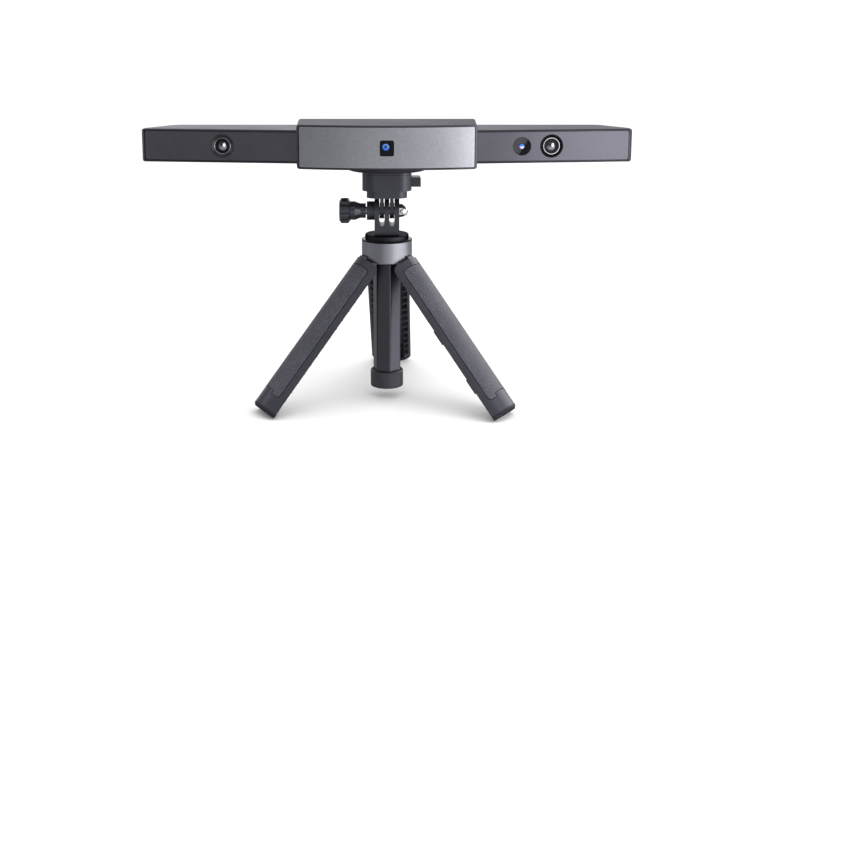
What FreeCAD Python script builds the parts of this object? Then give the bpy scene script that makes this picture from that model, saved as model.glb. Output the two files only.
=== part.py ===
"""Handheld scanner bar on a quick-release mount and a folding tripod handle.

Millimetres, +Z up, +X to the object's right as its lenses face -Y.  The sub-parts are drawn about
the tripod's own axis, with the floor at z = 0.  Each finished piece is then moved back by axis_y,
so that the frame's origin is the centre of the whole object's footprint on the floor.
"""
import FreeCAD, Part
import math
import os
import re
import Sketcher

Vector = FreeCAD.Vector
Rotation = FreeCAD.Rotation
Placement = FreeCAD.Placement

SIZES = {
    # where the tripod's axis stands in the frame
    "axis_y": -16.37,
    # scanner bar: arms
    "bar_half": 148.5, "arm_low": 149.4, "arm_high": 169.5, "arm_root": 51.0,
    "arm_front": -17.0, "arm_back": 23.0, "arm_sweep": 0.1198, "arm_end_low_y": -1.7,
    "arm_end_high_x": 132.4, "arm_wall": 1.9, "arm_frame": 1.15, "arm_end_frame": 2.0,
    "arm_edge": 1.1, "arm_tip_round": 1.9,
    "panel_thick": 1.4, "panel_gap": 0.3, "panel_sink": 0.12,
    # scanner bar: centre block
    "block_half": 53.8, "block_low": 146.4, "block_high": 172.9, "block_side_y": -18.5,
    "block_bow": 7.0, "block_back": 25.0, "block_wall": 2.2, "block_corner": 1.8,
    "block_flare": 2.0, "plate_frame": 1.2, "plate_rim": 0.8, "plate_thick": 1.6,
    "plate_bevel": 0.35, "plate_fit": 0.12,
    "cover_thick": 1.8,
    # optics
    "optic_z": 159.5, "camera_x": 99.0, "colour_x": 81.0, "bezel_radius": 6.9, "ring_radius": 5.1,
    "lens_radius": 2.75, "colour_radius": 5.4, "colour_lens_radius": 1.55,
    "window_wide": 8.4, "window_high": 9.3, "window_round": 1.3, "projector_lens_radius": 2.15,
    "projector_lens_dx": -0.6, "projector_lens_dz": 0.6,
    # inside the bar
    "rail_half": 112.0, "rail_low": 152.8, "rail_high": 166.7, "rail_front": 5.0,
    "rail_deep": 6.0, "rail_sheet": 1.5, "board_y": 14.0, "board_half": 46.0,
    "board_thick": 1.6, "screw_radius": 1.0, "screw_head_radius": 1.9, "screw_head_tall": 1.2,
    # rear face controls
    "usb_x": -30.0, "usb_wide": 9.2, "usb_high": 3.4, "button_x": 28.0, "button_radius": 5.5,
    "button_gap": 0.25, "button_travel": 0.6, "light_x": 16.0, "light_radius": 1.2,
    # underside pad and thread
    "pad_radius": 24.9, "pad_bevel": 1.5, "pad_low": 144.1, "insert_radius": 4.5, "insert_top": 152.0,
    "thread_radius": 3.175, "bolt_radius": 3.1,
    # quick-release mount
    "mount_half": 15.0, "mount_round": 7.5, "mount_split": 142.0, "mount_step": 132.2,
    "mount_low": 128.0, "mount_low_half_x": 12.3, "mount_low_half_y": 14.7, "mount_low_round": 6.0,
    "tongue_half": 9.4, "tongue_low": 136.0, "tongue_fit": 0.2,
    "latch_half_y": 5.0, "latch_end": 20.7, "latch_low": 133.9, "latch_high": 139.8,
    "latch_tab_x": 13.0, "latch_sheet": 1.5, "latch_left": -11.4, "latch_travel": 2.0,
    "latch_gap": 0.15, "hook_thick": 2.6, "hook_high": 138.4,
    # two fingers, three fingers and their screw
    "pivot_z": 118.5, "finger_x": 3.075, "finger_thick": 2.9, "finger_web": 2.2,
    "finger_hub": 4.9, "clevis_half": 7.6, "clevis_deep": 7.5,
    "clevis_top": 7.3, "slot_wide": 3.25, "slot_floor": 110.0, "disc_low": 101.2,
    "disc_high": 104.3, "disc_radius": 13.5, "boss_end": -12.3, "boss_radius": 5.8,
    "shaft_radius": 2.45, "shaft_bore": 2.53, "knob_far": -29.2, "knob_head_end": -22.7,
    "knob_radius": 7.8, "knob_neck": 5.8, "knob_waist": 4.55, "knob_near": -13.0,
    "nut_end": 13.05, "nut_radius": 3.85,
    # pole, column and hub
    "ring_radius_out": 15.6, "ring_radius_in": 14.0, "ring_low": 87.5, "ring_high": 101.1,
    "notch_half": 3.4, "notch_high": 92.0, "hub_radius": 13.9, "hub_low": 87.9, "hub_high": 100.6,
    "slot_half": 3.1, "column_corner": 8.9, "column_turn": -15.0, "column_bore": 6.4, "column_low": 12.0,
    "column_high": 98.0, "cap_radius": 10.25, "cap_low": 7.05, "cap_high": 17.4, "cap_floor": 3.0,
    "stage_gap": 0.1, "middle_bore": 4.7, "middle_low": 16.0, "middle_high": 100.6,
    "inner_bore": 3.0, "inner_low": 18.0, "inner_high": 101.1, "stud_radius": 2.95, "stud_low": 88.0,
    # legs
    "leg_count": 3, "first_leg_angle": 87.8, "spread_angle": 40.2, "hinge_radius": 11.5,
    "hinge_z": 91.5, "leg_radius": 15.9, "leg_wall_radius": 13.9, "leg_inner_radius": 10.9,
    "leg_half_angle": 58.2, "leg_cavity_half_angle": 42.0, "leg_shoulder": 86.8,
    "leg_length": 114.9, "shoulder_lead": 1.2, "leg_round": 4.2, "tongue_thick_half": 2.9,
    "hinge_hub_radius": 2.1, "pin_radius": 1.2, "pin_half": 5.2, "pin_fit": 0.05,
    "rung_pitch": 6.6, "rung_thick": 0.8, "rung_deep": 3.3, "rung_count": 15,
    "grip_thick": 1.2, "grip_half_angle": 43.0, "grip_top": 4.7,
    "grip_bottom": 11.0, "grip_notch": 2.5, "grip_notch_half_angle": 20.0,
    "grip_round": 2.2, "grip_seam": 0.4, "sole_thick": 2.6, "sole_chord": 2.9, "sole_plug": 7.0,
    "sole_bevel": 1.4, "edge_tab": 0.65, "edge_tab_long": 10.0, "edge_tab_first": 46.0,
    "edge_tab_second": 81.0,
}

document = FreeCAD.newDocument("HandheldScanner")
sheet = document.addObject("Spreadsheet::Sheet", "Sheet")
for row_number, (alias, value) in enumerate(SIZES.items(), start=1):
    sheet.set("A%d" % row_number, alias)
    sheet.set("B%d" % row_number, str(value))
    sheet.setAlias("B%d" % row_number, alias)
document.recompute()

pieces = []


# ---------------------------------------------------------------- small helpers

def size(alias):
    """The number in one cell of the sheet."""
    return float(sheet.get(alias))


def linked(text):
    """An expression in which each alias is read from the sheet."""
    return re.sub(r"[a-z]\w*", lambda word: "Sheet." + word.group() if word.group() in SIZES
                  else word.group(), str(text))


def bind(thing, **links):
    """Bind properties to expressions; a double underscore stands for a dot."""
    for name, text in links.items():
        thing.setExpression(name.replace("__", "."), linked(text))
    return thing


def box(x_range, y_range, z_range):
    """A block between the low and high expressions of each axis."""
    block = document.addObject("Part::Box", "Block")
    bind(block, Length="(%s) - (%s)" % (x_range[1], x_range[0]),
         Width="(%s) - (%s)" % (y_range[1], y_range[0]),
         Height="(%s) - (%s)" % (z_range[1], z_range[0]),
         Placement__Base__x=x_range[0], Placement__Base__y=y_range[0],
         Placement__Base__z=z_range[0])
    return block


TURNS = {"X": Rotation(Vector(0, 1, 0), 90), "Y": Rotation(Vector(1, 0, 0), -90),
         "Z": Rotation()}


def rod(axis, centre, span, radius, kind="Part::Cylinder", tip=None):
    """A cylinder, or a cone with a tip radius, along one axis; centre holds the other two places."""
    round_bar = document.addObject(kind, "Rod")
    places = {"X": (span[0], centre[0], centre[1]), "Y": (centre[0], span[0], centre[1]),
              "Z": (centre[0], centre[1], span[0])}[axis]
    round_bar.Placement = Placement(Vector(), TURNS[axis])
    bind(round_bar, Height="(%s) - (%s)" % (span[1], span[0]), Placement__Base__x=places[0],
         Placement__Base__y=places[1], Placement__Base__z=places[2])
    if tip is None:
        return bind(round_bar, Radius=radius)
    return bind(round_bar, Radius1=radius, Radius2=tip)


def cone(axis, centre, span, radius, tip):
    return rod(axis, centre, span, radius, "Part::Cone", tip)


def joined(*shapes):
    union = document.addObject("Part::MultiFuse", "Union")
    union.Shapes = list(shapes)
    return union


def common(first, second):
    overlap = document.addObject("Part::Common", "Overlap")
    overlap.Base = first
    overlap.Tool = second
    return overlap


def cut(base, *tools):
    rest = document.addObject("Part::Cut", "Rest")
    rest.Base = base
    rest.Tool = tools[0] if len(tools) == 1 else joined(*tools)
    return rest


def keep(name, thing):
    """Name a finished piece and move it from the tripod's axis to the frame's origin."""
    thing.Label = name
    bind(thing, Placement__Base__y="axis_y")
    pieces.append(thing)
    return thing


def keep_shape(name, shape, placement=None):
    """A finished piece whose shape is worked out here from the sheet's sizes."""
    piece = document.addObject("Part::Feature", name)
    piece.Shape = shape
    piece.Label = name
    piece.Placement = Placement(Vector(0, size("axis_y"), 0), Rotation()) * (placement or Placement())
    pieces.append(piece)
    return piece


def plane_of(body, role):
    return [item for item in body.Origin.OriginFeatures if item.Role == role][0]


def sketch_on(body, role):
    sketch = body.newObject("Sketcher::SketchObject", "Profile")
    sketch.AttachmentSupport = [(plane_of(body, role), "")]
    sketch.MapMode = "FlatFace"
    return sketch


def outline(sketch, corners):
    """A closed polygon; each corner is a pair of expressions, counted from the origin."""
    count = len(corners)
    guess = [Vector(math.cos(2 * math.pi * turn / count), math.sin(2 * math.pi * turn / count), 0)
             for turn in range(count)]
    for index in range(count):
        sketch.addGeometry(Part.LineSegment(guess[index], guess[(index + 1) % count]), False)
    for index in range(count):
        sketch.addConstraint(Sketcher.Constraint("Coincident", index, 2, (index + 1) % count, 1))
    for index, corner in enumerate(corners):
        for kind, start, text in (("DistanceX", guess[index].x, corner[0]),
                                  ("DistanceY", guess[index].y, corner[1])):
            number = sketch.addConstraint(Sketcher.Constraint(kind, -1, 1, index, 1, start))
            sketch.setExpression("Constraints[%d]" % number, linked(text))


def circle(sketch, place, radius):
    number = sketch.addGeometry(Part.Circle(Vector(1, 1, 0), Vector(0, 0, 1), 2), False)
    for constraint, text in ((("DistanceX", -1, 1, number, 3, 1.0), place[0]),
                             (("DistanceY", -1, 1, number, 3, 1.0), place[1]),
                             (("Radius", number, 2.0), radius)):
        index = sketch.addConstraint(Sketcher.Constraint(*constraint))
        sketch.setExpression("Constraints[%d]" % index, linked(text))


def pad_between(body, corners, low, high, role="XY_Plane"):
    """Pad a polygon from one height above its plane to another."""
    sketch = sketch_on(body, role)
    bind(sketch, AttachmentOffset__Base__z=low)
    outline(sketch, corners)
    pad = body.newObject("PartDesign::Pad", "Pad")
    pad.Profile = sketch
    bind(pad, Length="(%s) - (%s)" % (high, low))
    return pad


def pocket_between(body, corners, low, high, role="XY_Plane"):
    """Cut a polygon's prism from one height above its plane to another."""
    sketch = sketch_on(body, role)
    bind(sketch, AttachmentOffset__Base__z=low)
    outline(sketch, corners)
    pocket = body.newObject("PartDesign::Pocket", "Pocket")
    pocket.Profile = sketch
    pocket.Reversed = True
    bind(pocket, Length="(%s) - (%s)" % (high, low))
    return pocket


def edges_where(shape, wanted):
    return ["Edge%d" % (index + 1) for index, edge in enumerate(shape.Edges) if wanted(edge)]


def round_edges(body, base, wanted, radius, kind="PartDesign::Fillet"):
    """Round, or chamfer, the edges of the last feature that a test picks."""
    document.recompute()
    names = edges_where(base.Shape, wanted)
    if not names:
        raise RuntimeError("no edge to round on " + body.Label)
    feature = body.newObject(kind, "Edges")
    feature.Base = (base, names)
    bind(feature, **{"Radius" if kind == "PartDesign::Fillet" else "Size": radius})
    return feature


def part_rounded(thing, wanted, radius, kind="Part::Fillet"):
    """Round or chamfer the edges of a boolean solid that a test picks."""
    document.recompute()
    feature = document.addObject(kind, "Edges")
    feature.Base = thing
    feature.Edges = [(index + 1, radius, radius) for index, edge in enumerate(thing.Shape.Edges)
                     if wanted(edge)]
    return feature


def runs_along(edge, direction):
    """True for a straight edge that is parallel to the direction."""
    if len(edge.Vertexes) < 2 or not isinstance(edge.Curve, Part.Line):
        return False
    return abs(abs(edge.Curve.Direction.dot(direction)) - 1) < 1e-6


X_AXIS = Vector(1, 0, 0)
Y_AXIS = Vector(0, 1, 0)
Z_AXIS = Vector(0, 0, 1)


# ---------------------------------------------------------------- scanner bar: arms

RIGHT = "1 * "
LEFT = "-1 * "


def sorted_range(side, low, high):
    """A range on one side of the middle, low end first."""
    if side == LEFT:
        return ("-(%s)" % high, "-(%s)" % low)
    return (low, high)


def arm_front_at(x_text):
    """The swept-back front line of an arm, at a distance from the middle."""
    return "arm_front + arm_sweep * ((%s) - block_half)" % x_text


def arm_plan(side, inset, root, front_inset=None):
    """The arm's outline seen from above, drawn inset from its outer faces."""
    front_inset = inset if front_inset is None else front_inset
    tip = "(bar_half - %s)" % inset
    return [(side + root, arm_front_at(root) + " + " + front_inset),
            (side + tip, arm_front_at(tip) + " + " + front_inset),
            (side + tip, "arm_end_low_y - 0.5 * %s" % inset),
            (side + "(arm_end_high_x - 0.6 * %s)" % inset, "arm_back - %s" % inset),
            (side + root, "arm_back - %s" % inset)]


def make_arm_shell(name, side):
    """A box shell, open at the front for its panel and at the root for the wiring."""
    body = document.addObject("PartDesign::Body", "ArmForm")
    pad = pad_between(body, arm_plan(side, "0", "arm_root"), "arm_low", "arm_high")
    outer = size("arm_root") + 1
    front_corner = round_edges(body, pad, lambda edge: runs_along(edge, Z_AXIS)
                               and abs(edge.CenterOfMass.x) > size("bar_half") - 1
                               and edge.CenterOfMass.y < -3, "2.2")
    oblique = round_edges(body, front_corner, lambda edge: runs_along(edge, Z_AXIS)
                          and abs(edge.CenterOfMass.x) > size("bar_half") - 0.01
                          and edge.CenterOfMass.y > -3, "6")
    heel = round_edges(body, oblique, lambda edge: runs_along(edge, Z_AXIS)
                       and edge.CenterOfMass.y > size("arm_back") - 0.01
                       and abs(edge.CenterOfMass.x) > outer, "9")
    round_edges(body, heel, lambda edge: not runs_along(edge, Z_AXIS)
                and abs(edge.CenterOfMass.x) > outer, "arm_edge")
    pocket_between(body, [(side + "(arm_root - 1)", arm_front_at("arm_root") + " - 1"),
                          (side + "(bar_half - arm_end_frame)", arm_front_at("bar_half") + " - 1"),
                          (side + "(bar_half - arm_end_frame)", arm_front_at("bar_half") + " + 1.7"),
                          (side + "(arm_root - 1)", arm_front_at("arm_root") + " + 1.7")],
                   "arm_low + arm_frame", "arm_high - arm_frame")
    pocket_between(body, arm_plan(side, "arm_wall", "(arm_root - 1)", "1"),
                   "arm_low + arm_wall", "arm_high - arm_wall")
    slab = part_rounded(box(sorted_range(side, "0", "bar_half"), ("-30", "30"),
                            ("arm_low", "arm_high")),
                        lambda edge: runs_along(edge, Y_AXIS)
                        and abs(edge.CenterOfMass.x) > outer, size("arm_tip_round"))
    return keep(name, common(body, slab))


def make_arm_panel(name, side, holes):
    """A front panel that sits just inside the shell's frame, with a seam all round."""
    body = document.addObject("PartDesign::Body", name)
    root = "(block_half - 1)"
    tip = "(bar_half - arm_end_frame - panel_gap)"
    corners = [(side + root, arm_front_at(root) + " + panel_sink"),
               (side + tip, arm_front_at(tip) + " + panel_sink"),
               (side + tip, arm_front_at(tip) + " + panel_sink + panel_thick"),
               (side + root, arm_front_at(root) + " + panel_sink + panel_thick")]
    pad = pad_between(body, corners, "arm_low + arm_frame + panel_gap",
                      "arm_high - arm_frame - panel_gap")
    round_edges(body, pad, lambda edge: runs_along(edge, Y_AXIS)
                and abs(edge.CenterOfMass.x) > size("bar_half") - 3, "1.2")
    for place, radius in holes:
        sketch = sketch_on(body, "XZ_Plane")
        circle(sketch, (side + place, "optic_z"), radius)
        pocket = body.newObject("PartDesign::Pocket", "Pocket")
        pocket.Profile = sketch
        pocket.SideType = "Symmetric"
        pocket.Type = "Length"
        bind(pocket, Length="60")
    return keep(name, body)


make_arm_shell("left_arm_shell", LEFT)
make_arm_shell("right_arm_shell", RIGHT)
make_arm_panel("left_arm_panel", LEFT, [("camera_x", "bezel_radius + 0.12")])
make_arm_panel("right_arm_panel", RIGHT, [("camera_x", "bezel_radius + 0.12"),
                                          ("colour_x", "colour_radius + 0.12")])


# ---------------------------------------------------------------- scanner bar: centre block

BOW_RADIUS = "((block_half * block_half + block_bow * block_bow) / (2 * block_bow))"


def bowed_block(side_inset, rim_inset, back, front_inset):
    """A block with a bowed front, inset from the centre block's faces at its sides and rims."""
    front = "(block_side_y - block_bow + %s)" % front_inset
    block = box(("-block_half + " + side_inset, "block_half - " + side_inset), (front, back),
                ("block_low + " + rim_inset, "block_high - " + rim_inset))
    bow = rod("Z", ("0", "block_side_y - block_bow + " + BOW_RADIUS),
              ("block_low - 1", "block_high + 1"), BOW_RADIUS + " - " + front_inset)
    return common(block, bow)


def flared_block():
    """The centre block's outside: bowed in front, and a little wider behind than in front."""
    wedge = document.addObject("Part::Wedge", "Wedge")
    front_half = "(block_half - block_flare * block_bow / (block_back - block_side_y))"
    bind(wedge, Ymin="block_side_y - block_bow", Ymax="block_back",
         Xmin="-" + front_half, Xmax=front_half, X2min="-block_half - block_flare",
         X2max="block_half + block_flare", Zmin="block_low", Z2min="block_low",
         Zmax="block_high", Z2max="block_high")
    return common(wedge, bow_behind("0"))


def bow_behind(depth):
    """A tall cylinder whose front is the block's bow, set back by a depth."""
    return rod("Z", ("0", "block_side_y - block_bow + %s + %s" % (depth, BOW_RADIUS)),
               ("block_low - 1", "block_high + 1"), BOW_RADIUS)


def make_housing():
    """The sleeve round the middle of the bar: open in front, behind and where the arms enter."""
    outside = part_rounded(flared_block(), lambda edge: isinstance(edge.Curve, Part.Line)
                           and abs(edge.Curve.Direction.y) > 0.9, size("block_corner"))
    outside = part_rounded(outside, lambda edge: edge.BoundBox.YMax < size("block_side_y") + 0.5, 0.5)
    front_seat = part_rounded(bowed_block("plate_frame", "plate_rim",
                                          "block_side_y + plate_thick + 0.1", "-3"),
                              lambda edge: runs_along(edge, Y_AXIS), 1.2)
    front_seat = cut(front_seat, bow_behind("plate_thick + 0.05"))
    hollow = box(("-block_half + block_wall", "block_half - block_wall"), ("-30", "30"),
                 ("block_low + block_wall", "block_high - block_wall"))
    back_seat = part_rounded(box(("-block_half + plate_frame", "block_half - plate_frame"),
                                 ("block_back - cover_thick", "block_back + 1"),
                                 ("block_low + plate_frame", "block_high - plate_frame")),
                             lambda edge: runs_along(edge, Y_AXIS), 1.5)
    arm_way = box(("-60", "60"), (arm_front_at("block_half") + " - 0.9", "arm_back + 0.1"),
                  ("arm_low - 0.1", "arm_high + 0.1"))
    insert_hole = rod("Z", ("0", "0"), ("block_low - 1", "block_low + 5"), "insert_radius")
    sleeve = cut(outside, front_seat, hollow, back_seat, arm_way, insert_hole)
    posts = [cut(rod("Y", (x, z), ("block_back - 6", "block_back - cover_thick"), "2.6"),
                 rod("Y", (x, z), ("block_back - 7", "block_back"), "screw_radius"))
             for x, z in COVER_SCREWS]
    return keep("housing", joined(sleeve, *posts))


COVER_SCREWS = [(sign + "(block_half - 5.6)", height) for sign in ("-1 * ", "1 * ")
                for height in ("block_low + 4.6", "block_high - 4.6")]


def make_front_plate():
    """The bowed silver plate, let into the housing's frame."""
    blank = part_rounded(bowed_block("(plate_frame + plate_fit)", "(plate_rim + plate_fit)",
                                     "block_side_y + plate_thick", "0.02"),
                         lambda edge: runs_along(edge, Y_AXIS), 1.1)
    sheet_metal = cut(blank, bow_behind("plate_thick"))
    front_edge = part_rounded(sheet_metal, lambda edge: on_bow(edge), size("plate_bevel"),
                              "Part::Chamfer")
    opening = part_rounded(box(("-window_wide / 2 - 0.06", "window_wide / 2 + 0.06"), ("-30", "-10"),
                               ("optic_z - window_high / 2 - 0.06", "optic_z + window_high / 2 + 0.06")),
                           lambda edge: runs_along(edge, Y_AXIS), size("window_round"))
    return keep("front_plate", cut(front_edge, opening))


def on_bow(edge):
    """True where both ends and the middle of an edge lie on the plate's outer bowed face."""
    half = size("block_half")
    bow = size("block_bow")
    radius = (half * half + bow * bow) / (2 * bow)
    centre_y = size("block_side_y") - bow + radius
    first, last = edge.ParameterRange
    points = [edge.valueAt(first + (last - first) * part) for part in (0.0, 0.5, 1.0)]
    return all(abs(math.hypot(point.x, point.y - centre_y) - radius + 0.02) < 0.01
               for point in points)


def make_rear_cover():
    """The flat cover behind the block, with the inlet, the button hole and the light's hole."""
    sheet_metal = part_rounded(box(("-block_half + plate_frame + plate_fit",
                                    "block_half - plate_frame - plate_fit"),
                                   ("block_back - cover_thick", "block_back"),
                                   ("block_low + plate_frame + plate_fit",
                                    "block_high - plate_frame - plate_fit")),
                               lambda edge: runs_along(edge, Y_AXIS), 1.4)
    inlet = part_rounded(box(("usb_x - usb_wide / 2 - 0.1", "usb_x + usb_wide / 2 + 0.1"),
                             ("block_back - 4", "block_back + 1"),
                             ("optic_z - usb_high / 2 - 0.1", "optic_z + usb_high / 2 + 0.1")),
                         lambda edge: runs_along(edge, Y_AXIS), size("usb_high") / 2)
    button_hole = rod("Y", ("button_x", "optic_z"), ("block_back - 4", "block_back + 1"),
                      "button_radius + button_gap")
    light_hole = rod("Y", ("light_x", "optic_z"), ("block_back - 4", "block_back + 1"),
                     "light_radius + 0.02")
    sinks = [cone("Y", place, ("block_back - screw_head_tall", "block_back"), "screw_radius",
                  "screw_head_radius") for place in COVER_SCREWS]
    holes = [rod("Y", place, ("block_back - 4", "block_back + 1"), "screw_radius")
             for place in COVER_SCREWS]
    return keep("rear_cover", cut(sheet_metal, inlet, button_hole, light_hole, *sinks, *holes))


make_housing()
make_front_plate()
make_rear_cover()


def make_cover_screws():
    screws = []
    for place in COVER_SCREWS:
        head = cone("Y", place, ("block_back - screw_head_tall", "block_back"), "screw_radius",
                    "screw_head_radius")
        shank = rod("Y", place, ("block_back - 5.5", "block_back - 1"), "screw_radius")
        socket = rod("Y", place, ("block_back - 0.7", "block_back + 1"), "screw_radius * 0.7")
        screws.append(cut(joined(head, shank), socket))
    return keep("cover_screws", compound(screws))


def compound(things):
    group = document.addObject("Part::Compound", "Group")
    group.Links = things
    return group


make_cover_screws()


# ---------------------------------------------------------------- scanner bar: optics

def panel_frame(side, place_alias):
    """Where a round optic sits: its own -Y looks squarely out of the arm's sloping panel."""
    slope = math.atan(size("arm_sweep"))
    along = size(place_alias)
    front = size("arm_front") + size("arm_sweep") * (along - size("block_half"))
    turn = Rotation(Z_AXIS, side * math.degrees(slope))
    return Placement(Vector(side * along, front + size("panel_sink"), size("optic_z")), turn)


def turned_about_y(profile):
    """A solid turned about Y from a closed profile of (radius, y) corners."""
    points = [Vector(radius, y, 0) for radius, y in profile]
    face = Part.Face(Part.makePolygon(points + points[:1]))
    return face.revolve(Vector(), Y_AXIS, 360)


def dome(radius, rise, foot):
    """A lens: a spherical cap with its rim at y = 0 that bulges to y = -rise, on a short foot."""
    ball_radius = (radius * radius + rise * rise) / (2 * rise)
    ball = Part.makeSphere(ball_radius, Vector(0, ball_radius - rise, 0))
    body = Part.makeCylinder(radius, rise + foot, Vector(0, -rise, 0), Y_AXIS)
    return body.common(ball) if foot <= 0 else body.common(
        ball.fuse(Part.makeCylinder(radius, foot, Vector(), Y_AXIS)))


def make_camera(prefix, side):
    """One depth camera: dished bezel, thin metal ring, lens, and the module behind the panel."""
    frame = panel_frame(side, "camera_x")
    bezel = size("bezel_radius")
    ring = size("ring_radius")
    lens = size("lens_radius")
    keep_shape(prefix + "_camera_bezel", turned_about_y(
        [(bezel, -0.15), (bezel, 1.3), (ring + 0.02, 1.3), (ring + 0.02, 0.55), (ring + 0.35, 0.35),
         (bezel - 0.5, -0.15)]), frame)
    keep_shape(prefix + "_camera_ring", turned_about_y(
        [(ring, 0.3), (ring, 1.3), (lens + 0.9, 1.3), (lens + 0.9, 1.05), (ring - 0.75, 0.8),
         (ring - 0.5, 0.3)]), frame)
    lens_frame = frame * Placement(Vector(0, 0.75, 0), Rotation())
    keep_shape(prefix + "_camera_lens", dome(lens, 0.75, 0.9), lens_frame)
    barrel = Part.makeCylinder(ring + 0.9, 8.0, Vector(0, 1.35, 0), Y_AXIS)
    seat = Part.makeCylinder(lens + 0.03, 0.4, Vector(0, 1.3, 0), Y_AXIS)
    base = Part.makeBox(14.0, 2.5, 13.0, Vector(-7.0, 9.0, -6.5))
    board = Part.makeBox(15.0, 1.0, 13.6, Vector(-7.5, 11.5, -6.8))
    keep_shape(prefix + "_camera_module", barrel.cut(seat).fuse([base, board]).removeSplitter(), frame)


make_camera("left", -1)
make_camera("right", 1)


def make_colour_camera():
    """The colour camera: a flat black glass disc with a small lens proud of it."""
    frame = panel_frame(1, "colour_x")
    disc = size("colour_radius")
    lens = size("colour_lens_radius")
    keep_shape("colour_camera_window", turned_about_y(
        [(disc, 0.05), (disc, 1.3), (lens + 0.02, 1.3), (lens + 0.02, 0.3), (lens + 0.5, -0.1),
         (disc - 0.25, -0.1)]), frame)
    keep_shape("colour_camera_lens", dome(lens, 0.35, 0.9),
               frame * Placement(Vector(0, 0.25, 0), Rotation()))
    holder = Part.makeCylinder(4.2, 7.0, Vector(0, 1.35, 0), Y_AXIS)
    board = Part.makeBox(9.6, 1.0, 12.0, Vector(-5.4, 8.3, -6.0))
    keep_shape("colour_camera_module", holder.fuse(board), frame)


def make_projector():
    """The projector: a black window in the front plate, its lens, and the light engine behind."""
    front = size("block_side_y") - size("block_bow")
    frame = Placement(Vector(0, front, size("optic_z")), Rotation())
    wide = size("window_wide")
    high = size("window_high")
    pane = Part.makeBox(wide, 1.5, high, Vector(-wide / 2, 0.15, -high / 2))
    pane = pane.makeFillet(size("window_round"), [edge for edge in pane.Edges if runs_along(edge, Y_AXIS)])
    lens = size("projector_lens_radius")
    across = size("projector_lens_dx")
    up = size("projector_lens_dz")
    pane = pane.cut(Part.makeCylinder(lens + 0.03, 4.0, Vector(across, -1.0, up), Y_AXIS))
    keep_shape("projector_window", pane, frame)
    keep_shape("projector_lens", dome(lens, 0.55, 0.9),
               frame * Placement(Vector(across, 0.7, up), Rotation()))
    engine = Part.makeBox(22.0, 18.0, 16.0, Vector(-11.0, 6.0, -6.4))
    tube = Part.makeCylinder(4.3, 4.3, Vector(across, 1.75, up), Y_AXIS)
    keep_shape("projector_module", engine.fuse(tube), frame)


make_colour_camera()
make_projector()


# ---------------------------------------------------------------- scanner bar: inside

def make_rail():
    """The channel that keeps both cameras and the projector in line."""
    web = box(("-rail_half", "rail_half"), ("rail_front", "rail_front + rail_sheet"),
              ("rail_low", "rail_high"))
    lips = [box(("-rail_half", "rail_half"), ("rail_front", "rail_front + rail_deep"), span)
            for span in (("rail_low", "rail_low + rail_sheet"), ("rail_high - rail_sheet", "rail_high"))]
    holes = [rod("Y", (x, "optic_z"), ("rail_front - 1", "rail_front + 3"), "screw_radius + 0.05")
             for x in RAIL_SCREWS]
    return keep("chassis_rail", cut(joined(web, *lips), *holes))


RAIL_SCREWS = ("-60", "-35", "35", "60")


def make_screws(name, places, seat_y, long, head_side):
    """A group of pan-head screws along Y; their heads sit behind the seat."""
    screws = []
    for place in places:
        shank = rod("Y", place, ("%s - %s" % (seat_y, long), seat_y), "screw_radius")
        head = rod("Y", place, (seat_y, "%s + %s" % (seat_y, head_side)), "screw_head_radius")
        screws.append(joined(shank, head))
    return keep(name, compound(screws))


BOARD_SCREWS = [(x, z) for x in ("-board_half + 3", "board_half - 3")
                for z in ("optic_z - 7", "optic_z + 7")]


def make_board():
    """The main board, with its two big chips, behind the rail."""
    slab = box(("-board_half", "board_half"), ("board_y", "board_y + board_thick"),
               ("optic_z - 9.5", "optic_z + 9.5"))
    chips = [box((x + " - 6", x + " + 6"), ("board_y - 1.4", "board_y"),
                 ("optic_z - 6", "optic_z + 6")) for x in ("-8", "12")]
    holes = [rod("Y", place, ("board_y - 2", "board_y + 3"), "screw_radius + 0.05")
             for place in BOARD_SCREWS]
    return keep("main_board", cut(joined(slab, *chips), *holes))


def make_heat_sink():
    """A finned block on the board's far side."""
    plate = box(("-20", "8"), ("board_y + board_thick", "board_y + board_thick + 1.2"),
                ("optic_z - 8", "optic_z + 8"))
    fins = [box(("-20", "8"), ("board_y + board_thick", "block_back - cover_thick - 0.6"),
                ("optic_z + %s" % low, "optic_z + %s + 1" % low)) for low in (-8, -4.75, -1.5, 1.75, 5, 7)]
    return keep("heat_sink", joined(plate, *fins))


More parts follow.
